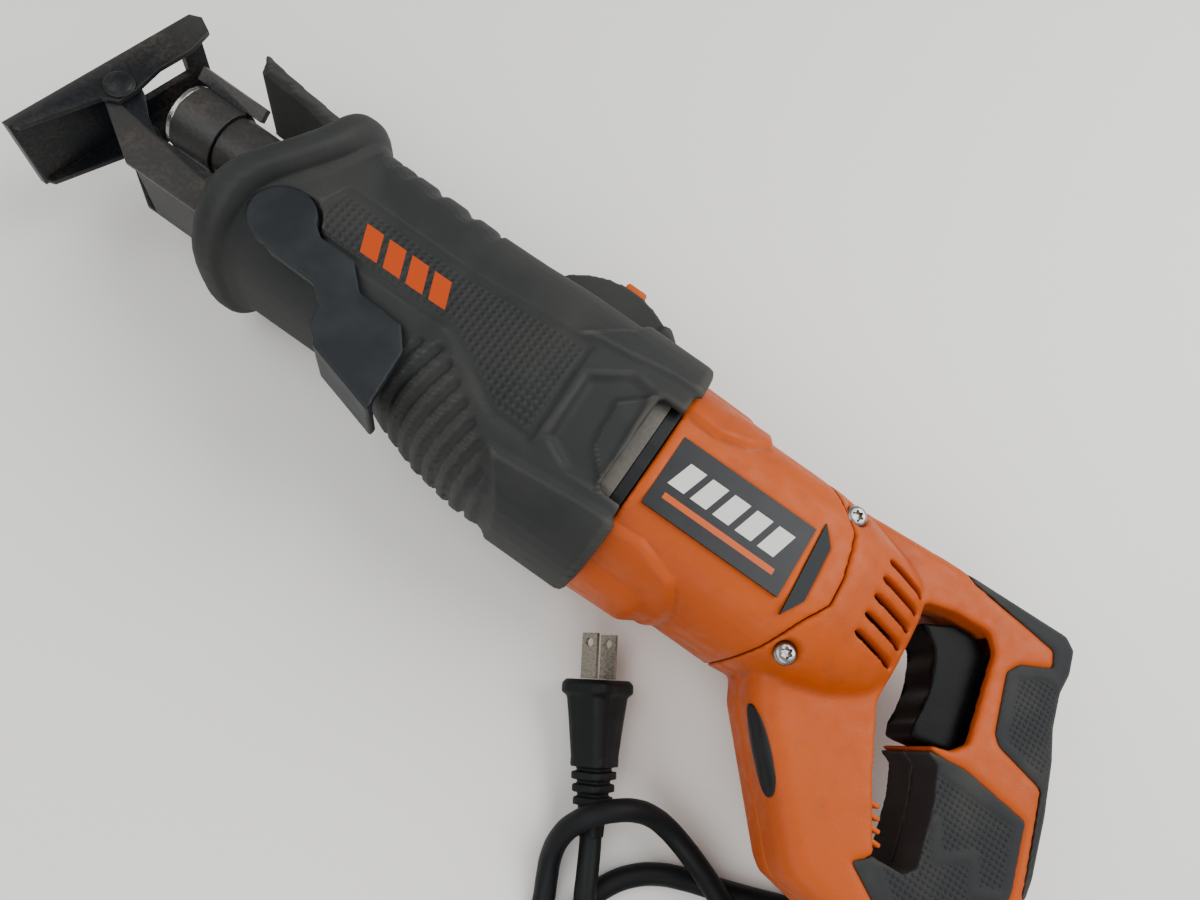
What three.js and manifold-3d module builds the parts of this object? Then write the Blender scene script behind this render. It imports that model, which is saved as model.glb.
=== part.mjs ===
// A corded reciprocating saw lying on its right side, with its mains lead and plug.
// The saw's own directions: x runs from the shoe to the handle, y from the underside to the top,
// and z from the right side to the left. x = 0 is the joint between the rubber boot and the motor
// housing, y = z = 0 is the spindle. The exported group is moved so that the saw stands on z = 0.
import * as THREE from "three";
import { mergeVertices } from "three/addons/utils/BufferGeometryUtils.js";
import Module from "manifold-3d";

const wasm = await Module();
wasm.setup();

// Driving dimensions, in millimetres and degrees.
const gap = 0.3; // between pieces that touch
const runGap = 0.5; // between pieces that slide or turn
const caseBack = -4.5; // rear end of the gear case
const motorY = -17; // motor axis, below the spindle
const motorHalf = 36.3; // half the height and width of the motor housing
const motorWall = 3.4;
const bootHalf = 43.6; // half the height and width of the boot at the motor
const noseHalf = 35.3; // half the width of the boot at the nose
const bootWall = 4.5;
const caseWall = 3;
const flangeFront = -165;
const flangeThick = 10;
const flangeHalf = 42;
const handleHalf = 17; // half the thickness of the handle
const handleWall = 3;
const handleRound = 6.5;
const skin = 1.6; // thickness of the soft grips
const spindleR = 7;
const strokeFront = 8; // the spindle's travel from rest, forward and back
const strokeBack = 20.6;
const crankR = 14.3;
const crankX = -62; // crown gear axis
const crankPinR = 4;
const gearR = 26;
const gearTop = -24;
const gearThick = 7;
const gearTeeth = 36;
const pinionTeeth = 6;
const pinionR = 4.3; // the two run on 24.3 and 4.05 mm, clear of each other by a hair
const clampR = 11.7;
const collarR = 12.8;
const collarLength = 17;
const noseBoreR = 20;
const postHalf = 14.5; // half the width of the shoe post
const postSheet = 2;
const postWebY = -33.5;
const postTopY = -18.8;
const postBack = -105;
const shoePivot = [-223, -13];
const shoeSheet = 2;
const shoeTopLeft = [-226.7, 25]; // front face of the shoe, top and bottom
const shoeBottomLeft = [-239.8, -48];
const releasePivot = [-141, -25];
const releaseHeadR = 11;
const landZ = 32.2; // flat on the boot's left side that the release lever lies on
const releaseThick = 3.8;
const selectorPivot = [-39, 7];
const selectorR = 31.5; // radius of the hump that the selector slides round
const selectorSwing = 20;
const triggerHalf = 12;
const triggerTravel = 7;
const triggerTilt = 0.16; // the trigger's way in, rise over run
const badgeLength = 51.5;
const badgeHeight = 26.5;
const badgeX = 4.5;
const badgeY = -34;
const cordR = 3.9;
const coilTurnR = 40; // radius at the middle of the stored turns
const coilHalf = 12; // half the width of the bundle of turns
const coilHigh = 23.4;
const reliefLength = 36;
const bench = -bootHalf; // height of the surface the saw lies on

const finish = {
  orange: new THREE.MeshStandardMaterial({ color: 0xcd6b30, roughness: 0.5 }),
  boot: new THREE.MeshStandardMaterial({ color: 0x3c3e3c, roughness: 0.85 }),
  grip: new THREE.MeshStandardMaterial({ color: 0x4b4d4b, roughness: 0.8 }),
  slate: new THREE.MeshStandardMaterial({ color: 0x33393d, roughness: 0.6 }),
  black: new THREE.MeshStandardMaterial({ color: 0x1c1e21, roughness: 0.4 }),
  blackSteel: new THREE.MeshStandardMaterial({ color: 0x23282d, roughness: 0.45, metalness: 0.8 }),
  steel: new THREE.MeshStandardMaterial({ color: 0x9a9a98, roughness: 0.35, metalness: 1 }),
  nickel: new THREE.MeshStandardMaterial({ color: 0x969187, roughness: 0.35, metalness: 1 }),
  aluminium: new THREE.MeshStandardMaterial({ color: 0x6e6c68, roughness: 0.55, metalness: 0.9 }),
  copper: new THREE.MeshStandardMaterial({ color: 0x9a5a34, roughness: 0.4, metalness: 1 }),
  bronze: new THREE.MeshStandardMaterial({ color: 0x8a6a3c, roughness: 0.5, metalness: 1 }),
  carbon: new THREE.MeshStandardMaterial({ color: 0x2a2a2a, roughness: 0.7 }),
};

const saw = new THREE.Group();

// A closed three.js geometry as a solid.
function solid(geometry) {
  const bare = new THREE.BufferGeometry().setAttribute("position", geometry.getAttribute("position"));
  if (geometry.index) bare.setIndex(geometry.index);
  const merged = mergeVertices(bare, 1e-4);
  return new wasm.Manifold(
    new wasm.Mesh({
      numProp: 3,
      vertProperties: merged.attributes.position.array,
      triVerts: new Uint32Array(merged.index.array),
    }),
  );
}

function join(...solids) {
  return solids.reduce((all, next) => all.add(next));
}

function cut(from, ...solids) {
  return solids.reduce((left, next) => left.subtract(next), from);
}

// A solid as a named mesh of the saw.
function piece(name, made, material, group = saw) {
  const mesh = made.getMesh();
  const geometry = new THREE.BufferGeometry();
  geometry.setAttribute("position", new THREE.BufferAttribute(mesh.vertProperties, 3));
  geometry.setIndex(new THREE.BufferAttribute(mesh.triVerts, 1));
  geometry.computeVertexNormals();
  const part = new THREE.Mesh(geometry, material);
  part.name = name;
  group.add(part);
}

function outlined(points) {
  return new THREE.Shape(points.map(([x, y]) => new THREE.Vector2(x, y)));
}

// An outline in x and y, filled from z = low to z = high.
function plate(points, low, high) {
  const shape = Array.isArray(points) ? outlined(points) : points;
  const options = { depth: high - low, bevelEnabled: false, curveSegments: 10 };
  return solid(new THREE.ExtrudeGeometry(shape, options).translate(0, 0, low));
}

function block(x0, x1, y0, y1, z0, z1) {
  const box = new THREE.BoxGeometry(x1 - x0, y1 - y0, z1 - z0);
  return solid(box.translate((x0 + x1) / 2, (y0 + y1) / 2, (z0 + z1) / 2));
}

// Turns a shape made round the y axis so that it lies round the named axis through a point.
function along(axis, [a, b], geometry) {
  if (axis === "x") return geometry.rotateZ(-Math.PI / 2).translate(0, a, b);
  if (axis === "z") return geometry.rotateX(Math.PI / 2).translate(a, b, 0);
  return geometry.translate(a, 0, b);
}

function rod(axis, place, radius, from, to, sides = 24) {
  const bar = new THREE.CylinderGeometry(radius, radius, to - from, sides);
  return solid(along(axis, place, bar.translate(0, (from + to) / 2, 0)));
}

// A turned solid from its profile, [radius, place along the axis] from one end to the other.
function turned(axis, place, profile, sides = 24) {
  const points = profile.map(([radius, s]) => new THREE.Vector2(radius, s));
  return solid(along(axis, place, new THREE.LatheGeometry(points, sides)));
}

function tube(axis, place, radius, bore, from, to, sides = 24) {
  const hole = rod(axis, place, bore, from - 1, to + 1, sides);
  return cut(rod(axis, place, radius, from, to, sides), hole);
}

// A ring sector in the xy plane, between two angles counted from +y towards +x.
function sector([x, y], inner, outer, from, to, halfZ) {
  const a0 = THREE.MathUtils.degToRad(90 - to);
  const a1 = THREE.MathUtils.degToRad(90 - from);
  const shape = new THREE.Shape();
  shape.absarc(x, y, outer, a0, a1, false);
  shape.absarc(x, y, inner, a1, a0, true);
  return plate(shape, -halfZ, halfZ);
}

// Moves each side of an outline outwards by a distance, or inwards if it is negative.
function grown(points, by) {
  const turn = THREE.ShapeUtils.area(points.map(([x, y]) => new THREE.Vector2(x, y))) > 0 ? 1 : -1;
  return points.map((p, i) => {
    const before = points[(i + points.length - 1) % points.length];
    const after = points[(i + 1) % points.length];
    const u = new THREE.Vector2(p[0] - before[0], p[1] - before[1]).normalize();
    const v = new THREE.Vector2(after[0] - p[0], after[1] - p[1]).normalize();
    const mitre = (by * turn) / Math.max(0.3, 1 + u.dot(v));
    return [p[0] + mitre * (u.y + v.y), p[1] - mitre * (u.x + v.x)];
  });
}

// A casing along x through stations [x, top, bottom, half width, squareness], drawn in by an inset.
function casing(stations, inset, sides = 44) {
  const rows = stations.length - 1;
  const form = new THREE.CylinderGeometry(1, 1, 1, sides, rows);
  const place = form.getAttribute("position");
  for (let i = 0; i < place.count; i++) {
    const [x, top, bottom, half, square] = stations[rows - Math.round((0.5 - place.getY(i)) * rows)];
    const far = Math.hypot(place.getX(i), place.getZ(i));
    const angle = Math.atan2(place.getZ(i), -place.getX(i));
    const bend = (value) => Math.sign(value) * Math.abs(value) ** (2 / square);
    const y = (top + bottom) / 2 + far * ((top - bottom) / 2 - inset) * bend(Math.cos(angle));
    place.setXYZ(i, x, y, far * (half - inset) * bend(Math.sin(angle)));
  }
  return solid(form);
}

// Rubber boot: nose, flange that stops the hand, guard tongue, selector hump, and the recesses.
const bootTop = motorY + bootHalf;
const bootStations = [
  [flangeFront + flangeThick - 1, 26, -43, noseHalf, 2.8],
  [-112, 26, -43, noseHalf, 2.8],
  [-95, 26, -47, noseHalf, 2.8],
  [-84, 26, -52, 35.6, 2.8],
  [-67, 26, -57.5, 39, 2.7],
  [-48, bootTop, motorY - bootHalf, 43, 2.6],
  [0, bootTop, motorY - bootHalf, bootHalf, 2.6],
];
const caseInset = bootWall + gap;
const caseFront = flangeFront + flangeThick;
const caseStations = bootStations.map(([x, ...rest]) => [x, ...rest]);
caseStations[0] = [caseFront, ...bootStations[0].slice(1)];
caseStations[6] = [caseBack, ...bootStations[6].slice(1)];

const leverOutline = [
  [-130.5, -21],
  [-127, -23.5],
  [-114, -23.5],
  [-106, -31],
  [-89, -32],
  [-83, -39],
  [-80, -61],
  [-106, -53],
  [-111, -49],
  [-113, -42],
  [-119, -37.5],
  [-136, -37],
  [-145, -34],
];

function postWay(from, to) {
  const clear = postHalf + runGap;
  return block(from, to, postWebY - runGap, postTopY + runGap, -clear, clear);
}

function boot() {
  const bodyX = flangeFront + flangeThick;
  const lands = join(
    plate(grown(leverOutline, runGap), landZ, bootHalf + 5),
    plate([[-152.5, -25], [-130, -23], [-78, -40], [-76, -75], [-152.5, -75]], landZ, bootHalf + 5),
    rod("z", releasePivot, releaseHeadR + runGap, landZ, bootHalf + 5),
  );
  const hump = rod("z", selectorPivot, selectorR, -14, 14, 48).intersect(block(-80, 0, 15, 60, -20, 20));
  const track = sector(selectorPivot, selectorR - 5, selectorR + 9, -31, 31, 3.2);
  const shaft = rod("z", releasePivot, 4.5, 0, bootHalf);
  const flange = casing(
    [
      [flangeFront, 27.5, -43.5, flangeHalf - 3, 2.8],
      [flangeFront + 2.5, 30.5, -46.5, flangeHalf, 2.8],
      [bodyX - 2.5, 30.5, -46.5, flangeHalf, 2.8],
      [bodyX, 27.5, -43.5, flangeHalf - 3, 2.8],
    ],
    0,
  );
  const guardTop = [[-203.5, 36], [-201, 29.5], [-185, 28], [flangeFront + 1, 21], [flangeFront + 1, 29]];
  const guard = plate(guardTop, -34, 4.5);
  const whole = join(casing(bootStations, 0), flange, guard, hump);
  const cavityStations = caseStations.map(([x, ...rest]) => [x, ...rest]);
  cavityStations[0][0] -= gap;
  cavityStations[6][0] = 1;
  return cut(
    whole,
    casing(cavityStations, bootWall),
    rod("x", [0, 0], noseBoreR, flangeFront - 1, caseFront + 1),
    postWay(flangeFront - 1, caseFront + 1),
    lands,
    shaft,
    track,
    block(-9.2, 1, -40, -3, 25, 60),
  );
}
piece("rubber_boot", boot(), finish.boot);

// Gear case: two aluminium halves that meet on z = 0, with the bulkheads that hold the bushes.
const frontBush = { from: -146, to: -134, r: 11 };
const rearBush = { from: -38, to: -28, r: 10.5 };
const frontBearing = { from: -14, to: -6, r: 9 };
const axleR = 5;

function gearCase(left) {
  const shell = cut(
    casing(caseStations, caseInset),
    casing(
      caseStations.map(([x, ...rest], i) => [i === 0 ? x + caseWall : i === 6 ? 1 : x, ...rest]),
      caseInset + caseWall,
    ),
  );
  const inner = casing(caseStations, caseInset + 1);
  const bulkhead = (x0, x1) => inner.intersect(block(x0, x1, -80, 60, -60, 60));
  const boss = rod("y", [crankX, 0], 11, -56, gearTop - gearThick - 4);
  const bossInside = inner.intersect(boss);
  const whole = join(shell, bulkhead(-147, -141), bulkhead(-35.2, -29.2), bulkhead(-13, -7), bossInside);
  const open = [
    rod("x", [0, 0], noseBoreR, caseFront - 1, caseFront + caseWall + 1),
    postWay(caseFront - 1, -140),
    rod("x", [0, 0], frontBush.r + gap, -150, -130),
    rod("x", [0, 0], rearBush.r + gap, -40, -26),
    rod("x", [0, 0], spindleR + 1.5, -20, 0),
    rod("x", [motorY, 0], frontBearing.r + gap, -20, 0),
    rod("x", [motorY, 0], pinionR + 2.4, -40, -26),
    rod("y", [crankX, 0], axleR + gap, -50, 0),
    rod("z", releasePivot, 4.5, 0, bootHalf),
  ];
  const half = left ? block(-200, 10, -90, 60, gap / 2, 60) : block(-200, 10, -90, 60, -60, -gap / 2);
  return cut(whole, ...open).intersect(half);
}
piece("gear_case_left", gearCase(true), finish.aluminium);
piece("gear_case_right", gearCase(false), finish.aluminium);

// Spindle with its yoke, the two bushes it slides in, and the roller that the crank pin would turn.
const yokeX = crankX - (strokeBack - strokeFront) / 2;
const yokeHalfY = 8.5;
const rollerR = 5;
const clampBack = -168;
function spindle() {
  const yoke = block(yokeX - 9, yokeX + 9, -yokeHalfY, yokeHalfY, -23, 23);
  const slot = block(yokeX - rollerR - gap, yokeX + rollerR + gap, -20, 20, -19.6, 19.6);
  const bar = rod("x", [0, 0], spindleR, clampBack + gap, rearBush.from + 11);
  return cut(join(bar, yoke), slot);
}
piece("spindle", spindle(), finish.steel);
piece("front_bush", tube("x", [0, 0], frontBush.r, spindleR + gap, frontBush.from, frontBush.to), finish.bronze);
piece("rear_bush", tube("x", [0, 0], rearBush.r, spindleR + gap, rearBush.from, rearBush.to), finish.bronze);
const rollerZ = Math.sqrt(crankR ** 2 - (yokeX - crankX) ** 2);
piece("yoke_roller", rod("y", [yokeX, rollerZ], rollerR, 0.3 - yokeHalfY, yokeHalfY), finish.steel);

// Blade clamp: the body on the spindle's end, the turning collar with its tab, and the front ring.
const collarBack = -190;
const collarFront = collarBack - collarLength;
function clampBody() {
  const neck = rod("x", [0, 0], clampR, collarBack + gap, clampBack);
  const core = rod("x", [0, 0], 8, collarFront - gap, collarBack + 1);
  return cut(join(neck, core), block(-240, -185, -6.5, 6.5, -0.8, 0.8));
}
piece("blade_clamp_body", clampBody(), finish.blackSteel);
function collar() {
  const ring = tube("x", [0, 0], collarR, 8 + gap, collarFront, collarBack);
  const tab = new THREE.BoxGeometry(28, 5, 3);
  tab.translate(-198, 15.6, 0).rotateX(THREE.MathUtils.degToRad(35));
  const root = new THREE.BoxGeometry(collarLength - 1, 5, 3);
  root.translate((collarFront + collarBack) / 2, 11.6, 0).rotateX(THREE.MathUtils.degToRad(35));
  return join(ring, solid(tab), solid(root));
}
piece("clamp_collar", collar(), finish.blackSteel);
function clampRing() {
  return tube("x", [0, 0], 12.2, 8 + gap, collarFront - gap - 2, collarFront - gap);
}
piece("clamp_ring", clampRing(), finish.steel);

// Drive: crown gear on its axle with the crank pin, and the motor's pinion.
function crownGear() {
  const disc = tube("y", [crankX, 0], gearR, axleR + gap, gearTop - gearThick, gearTop, 48);
  const teeth = Array.from({ length: gearTeeth }, (_, i) => {
    const tooth = new THREE.BoxGeometry(5, 3.4, 2).translate(gearR - 2.7, gearTop + 0.7, 0);
    return solid(tooth.rotateY((2 * Math.PI * (i + 0.5)) / gearTeeth).translate(crankX, 0, 0));
  });
  return join(disc, ...teeth);
}
piece("crown_gear", crownGear(), finish.steel);
const pinX = yokeX;
piece("crank_pin", rod("y", [pinX, rollerZ], crankPinR, gearTop + gap, -yokeHalfY - runGap), finish.steel);
piece("gear_axle", rod("y", [crankX, 0], axleR, -49.7, gearTop + 1), finish.steel);

// Motor: armature parts on one shaft, stator, bearings, brushes and the frame that holds them.
const coreFrom = 18;
const coreTo = 50;
const shaftR = 4;
const armature = [motorY, 0];
function pinionShaft() {
  const shaft = rod("x", armature, shaftR, -27, 84);
  const root = rod("x", armature, pinionR - 1.3, -42, -26);
  const teeth = Array.from({ length: pinionTeeth }, (_, i) => {
    const tooth = new THREE.BoxGeometry(13, pinionR - 1, 1.6).translate(-35.5, (pinionR + 1) / 2, 0);
    return solid(tooth.rotateX((2 * Math.PI * (i + 0.5)) / pinionTeeth).translate(0, motorY, 0));
  });
  return join(shaft, root, ...teeth);
}
piece("armature_shaft", pinionShaft(), finish.steel);
piece("armature_core", tube("x", armature, 19, shaftR + gap, coreFrom, coreTo, 32), finish.copper);
piece("commutator", tube("x", armature, 11, shaftR + gap, 58, 72), finish.copper);
function fan() {
  const hub = tube("x", armature, 29, shaftR + gap, 5, 7, 32);
  const vanes = Array.from({ length: 9 }, (_, i) => {
    const vane = new THREE.BoxGeometry(8, 17, 1.4).translate(10.5, 20, 0);
    return solid(vane.rotateX((2 * Math.PI * i) / 9).translate(0, motorY, 0));
  });
  return join(hub, ...vanes);
}
piece("cooling_fan", fan(), finish.carbon);
piece("front_bearing", tube("x", armature, frontBearing.r, shaftR + gap, frontBearing.from, frontBearing.to), finish.steel);
piece("stator", tube("x", armature, motorHalf - motorWall - gap, 20, coreFrom, coreTo, 32), finish.copper);
const baffle = cut(
  casing([[caseBack + gap, ...caseStations[6].slice(1)], [-gap, ...caseStations[6].slice(1)]], caseInset + 1),
  rod("x", armature, 24, -10, 5),
  block(-10, 5, -10, 30, -12, 12),
);
piece("motor_baffle", baffle, finish.black);
const frameX = 74;
const rearBearing = { from: frameX + 4.3, to: frameX + 11, r: 8 };
function brushFrame() {
  const disc = rod("x", armature, 22, frameX, frameX + 4);
  const cup = rod("x", armature, rearBearing.r + 3, frameX + 3, rearBearing.to - 1);
  const seat = rod("x", armature, rearBearing.r + gap, rearBearing.from - gap, 100);
  return cut(join(disc, cup), seat, rod("x", armature, shaftR + runGap, 0, 100));
}
piece("brush_frame", brushFrame(), finish.black);
piece("rear_bearing", tube("x", armature, rearBearing.r, shaftR + gap, rearBearing.from, rearBearing.to), finish.steel);
for (const [name, side] of [["upper", 1], ["lower", -1]]) {
  const near = motorY + side * 11.4;
  const far = motorY + side * 22.5;
  const mid = motorY + side * 15;
  const sleeve = block(60, frameX - gap, Math.min(mid, far), Math.max(mid, far), -5.5, 5.5);
  const bore = block(61.7, 70.3, -70, 40, -3.8, 3.8);
  piece(`brush_holder_${name}`, cut(sleeve, bore), finish.bronze);
  const carbon = block(62, 70, Math.min(near, far - side), Math.max(near, far - side), -3.5, 3.5);
  piece(`carbon_brush_${name}`, carbon, finish.carbon);
}

// Motor housing: orange, one piece, ending at the curved seam with the handle.
const seam = [
  [54, 40], [54, 15], [60, 9], [68.5, 1], [72, -15], [72.5, -25], [67, -35], [62, -47], [55.5, -58], [55.5, -120],
];
const frontOfSeam = [[-1, 40], ...grownSeam(-gap / 2), [-1, -120]];
const behindSeam = [[200, 40], ...grownSeam(gap / 2), [200, -120]];
function grownSeam(by) {
  return seam.map(([x, y]) => [x + by, y]);
}
const housingStations = [
  [0, motorY + motorHalf - 0.8, motorY - motorHalf + 0.3, motorHalf, 3],
  [60, motorY + motorHalf - 0.8, motorY - motorHalf + 0.3, motorHalf, 3],
  [76, 17, -51, 34.3, 3],
  [90, 14.5, -47, 29.5, 3],
  [100, 12, -42, 24.5, 3],
  [106.5, 8, -38, 19, 3],
];
const recess = 35;
function badgeBox(grow, low, high) {
  return block(badgeX - grow, badgeX + badgeLength + grow, badgeY - grow, badgeY + badgeHeight + grow, low, high);
}
const accentOutline = [[58, -3.5], [63, -10], [64, -30], [59.5, -38]];
function housing() {
  const outer = join(
    casing(housingStations, 0),
    casing([[0.2, 24.5, -58.5, 24, 2.8], [22, 24.5, -58, 22, 2.8], [33, 18, -51, 18, 2.8]], 0),
  );
  const kept = outer.intersect(plate(frontOfSeam, -50, 50));
  const hollow = rod("x", armature, motorHalf - motorWall, -1, 80, 40);
  const marks = [1, -1].flatMap((side) => [
    side > 0 ? badgeBox(gap, recess, 60) : badgeBox(gap, -60, -recess),
    side > 0 ? plate(grown(accentOutline, gap), recess - 1, 60) : plate(grown(accentOutline, gap), -60, 1 - recess),
  ]);
  return cut(kept, hollow, ...marks, block(-1, 0.2, -100, 100, -60, 60));
}
piece("motor_housing", housing(), finish.orange);
for (const [name, side] of [["left", 1], ["right", -1]]) {
  const near = side * (recess + gap);
  const far = side * (motorHalf - 0.1);
  piece(`badge_${name}`, badgeBox(0, Math.min(near, far), Math.max(near, far)), finish.slate);
  const inner = side * (recess - 1 + gap);
  const strip = plate(accentOutline, Math.min(inner, far), Math.max(inner, far));
  piece(`accent_${name}`, strip, finish.grip);
}

// Handle: two shells with a hand hole, soft grips let into both, and the screws that hold them.
const handleOutline = [
  [54, 14], [73, 20], [108, 23], [158, 25.5], [163, 22], [165, 13], [164.5, 5], [167, -7],
  [171, -17], [176, -35], [180, -55], [181, -75], [178.5, -91], [169, -101.5], [135, -104], [108, -100],
  [104, -97], [71, -60], [66, -50], [57, -45],
];
const handHole = [
  [106.5, 3], [107, -37], [116.5, -58], [125, -74], [128, -79], [139, -78], [142, -74], [138, -53],
  [134, -42.5], [129.6, -41], [129.3, -38.2], [136, -36], [140.5, -30.5], [135.5, 2.5], [131, 7.5], [118, 6.5],
];
const backGrip = [
  [110, 24], [116, 23], [119, 20], [154, 15.5], [156, 10], [145, 4], [142, -1], [147, -22],
  [150, -25], [169, -29], [177, -62], [200, -62], [200, 40], [110, 40],
];
const frontGrip = [
  [127, -40.3], [143, -38.2], [168, -41], [173, -64], [171, -84], [160, -94], [140, -94], [122, -84],
  [127.5, -79], [132, -66],
];
const triggerOutline = [
  [108, -1], [118, 5.2], [130, 6], [141, 1], [145, -30], [141, -34.5], [129, -37], [123, -37.5],
  [120, -33], [121, -25], [118, -13], [115, -7],
];
const reliefX = 158.5;
const reliefR = 7;
const screwPlaces = [
  { at: [67.5, 8.5], head: 26, boss: 5.5 },
  { at: [69.5, -44.5], head: 25, boss: 5.5 },
];

function handleForm(inset) {
  const round = handleRound - inset / 2;
  const options = {
    depth: 2 * (handleHalf - inset - round),
    bevelThickness: round,
    bevelSize: round,
    bevelOffset: -round,
    bevelSegments: 3,
  };
  const form = new THREE.ExtrudeGeometry(outlined(grown(handleOutline, -inset)), options);
  const bar = solid(form.translate(0, 0, -options.depth / 2));
  return cut(bar, plate(grown(handHole, inset), -50, 50));
}

function handleShell(left) {
  const block0 = casing(housingStations, 0).intersect(plate(behindSeam, -50, 50));
  const barOnly = handleForm(0).intersect(plate(behindSeam, -50, 50));
  const outer = join(barOnly, block0);
  const grips = join(plate(grown(backGrip, gap), -50, 50), plate(grown(frontGrip, gap), -50, 50));
  const letIn = cut(grips, handleForm(skin + gap));
  const room = join(
    cut(handleForm(handleWall), block(100, 108, -45, 10, -50, 50)),
    turned("x", armature, [[0, 50], [31, 50], [31, 74], [27, 84], [20, 99], [0, 99]]),
  );
  const slide = triggerOutline.map(([x, y]) => [x + triggerTravel + 1, y + triggerTilt * triggerTravel]);
  const triggerWay = join(
    plate(grown(triggerOutline, runGap), -triggerHalf - runGap, triggerHalf + runGap),
    plate(grown(slide, runGap), -triggerHalf - runGap, triggerHalf + runGap),
    plate([[130, 8], [150, 4], [154, -31], [134, -37]], -triggerHalf - runGap, triggerHalf + runGap),
  );
  const bosses = screwPlaces.map(({ at, boss }) => rod("z", at, boss, -20, 20, 16));
  const inHandle = join(...bosses).intersect(outer);
  const bores = screwPlaces.flatMap(({ at, head }) => [
    rod("z", at, 2.3, -26, 50, 12),
    rod("z", at, 4.3, head, 50, 16),
  ]);
  const vents = Array.from({ length: 5 }, (_, i) => block(84, 104, 1 - 7 * i, 3.5 - 7 * i, -50, 50));
  const shell = join(cut(outer, room, ...vents), cut(inHandle, rod("x", armature, 24, 0, 90)));
  const relief = rod("y", [reliefX, 0], reliefR + gap, -120, -95);
  const half = left ? block(40, 220, -120, 60, gap / 2, 60) : block(40, 220, -120, 60, -60, -gap / 2);
  return cut(shell, letIn, triggerWay, relief, ...bores).intersect(half);
}
piece("handle_left", handleShell(true), finish.orange);
piece("handle_right", handleShell(false), finish.orange);
const hollowForm = handleForm(skin);
const wholeForm = handleForm(0);
for (const [name, side] of [["left", 1], ["right", -1]]) {
  const half = side > 0 ? block(40, 220, -120, 60, gap / 2, 60) : block(40, 220, -120, 60, -60, -gap / 2);
  const way = block(100, 150, -38.2, 20, -triggerHalf - runGap, triggerHalf + runGap);
  const back = cut(wholeForm.intersect(plate(backGrip, -50, 50)), hollowForm).intersect(half);
  const front = cut(wholeForm.intersect(plate(frontGrip, -50, 50)), hollowForm, way).intersect(half);
  piece(`grip_back_${name}`, back, finish.grip);
  piece(`grip_front_${name}`, front, finish.grip);
}
screwPlaces.forEach(({ at, head }, i) => {
  const shank = rod("z", at, 2, -16, head + 1, 12);
  const cap = rod("z", at, 3.9, head + gap, head + 3.3, 16);
  piece(`handle_screw_${i + 1}`, join(shank, cap), finish.steel);
});

// Trigger, its spring and the switch it works.
piece("trigger", plate(triggerOutline, -triggerHalf, triggerHalf), finish.black);
const switchX = 153.5;
piece("switch_body", block(switchX, 161, -28, -4, -9, 9), finish.black);
piece("trigger_spring", tube("x", [-14, 0], 3.2, 2, 143.7, switchX - gap, 16), finish.steel);

// Shoe: stamped U on two rivets, at the end of a channel post that slides in the nose.
const [px, py] = shoePivot;
function shoe() {
  const [tx, ty] = shoeTopLeft;
  const [bx, by] = shoeBottomLeft;
  const sides = [
    [bx, by], [bx + 5, by + 2], [px - 1, py - 7.5], [px + 4, py - 5], [px + 5, py + 2], [px + 4.5, py + 14],
    [px + 7, py + 27], [px + 6, py + 37], [tx + 4, ty + 2], [tx, ty],
  ];
  const face = [[bx, by], [bx + 2.6, by], [tx + 2.6, ty], [tx, ty]];
  const out = postHalf + gap + shoeSheet;
  const flanges = join(plate(sides, out - shoeSheet, out), plate(sides, -out, shoeSheet - out));
  const front = plate(face, -out, out);
  const slot = block(-260, -200, -14, 17, -6.5, 6.5);
  return cut(join(flanges, front), slot, rod("z", shoePivot, 3.3, -30, 30, 16));
}
piece("shoe", shoe(), finish.blackSteel);
function shoePost() {
  const side = [
    [postBack, postWebY], [postBack, postTopY], [-203, postTopY], [-210, -15], [px + 6, py + 4],
    [px, py + 7], [px - 6, py + 3], [px - 6, py - 4], [px + 2, py - 9], [-203, postWebY],
  ];
  const inner = postHalf - postSheet;
  const legs = join(plate(side, inner, postHalf), plate(side, -postHalf, -inner));
  const web = block(-199, postBack, postWebY, postWebY + postSheet, -postHalf, postHalf);
  return cut(join(legs, web), rod("z", shoePivot, 3.3, -30, 30, 16));
}
piece("shoe_post", shoePost(), finish.blackSteel);
for (const [name, side] of [["left", 1], ["right", -1]]) {
  const outFace = postHalf + gap + shoeSheet;
  const profile = [[0, 10.2], [4.6, 10.2], [4.6, 12.2], [3, 12.2], [3, outFace + gap], [5.5, outFace + gap], [4.6, 18.8], [2, 19.8], [0, 19.8]];
  const rivet = turned("z", shoePivot, profile, 20);
  piece(`shoe_rivet_${name}`, side > 0 ? rivet : rivet.mirror([0, 0, 1]), finish.steel);
}

// Release lever: flat on the boot's left side, with its cam shaft down to the post.
function releaseLever() {
  const top = landZ + gap + releaseThick;
  const body = join(
    plate(leverOutline, landZ + gap, top),
    rod("z", releasePivot, releaseHeadR, landZ + gap, top, 32),
    plate([[-107, -50.5], [-80, -58], [-80, -61], [-106, -54]], 10, top),
  );
  return cut(body, rod("z", releasePivot, 4 + gap, 0, landZ + 2));
}
piece("shoe_release_lever", releaseLever(), finish.slate);
piece("release_shaft", rod("z", releasePivot, 4, postHalf + gap, landZ + 2 - gap, 16), finish.steel);

// Orbital selector: an arc that slides round the hump, with its finger tab.
function selector() {
  const arc = sector(selectorPivot, selectorR - 4.6, selectorR + 0.4, -9, 9, 2.8);
  const tab = sector(selectorPivot, selectorR, selectorR + 5.5, -6.2, 6.2, 2.25);
  return join(arc, tab);
}
piece("orbit_selector", selector(), finish.orange);

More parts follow.
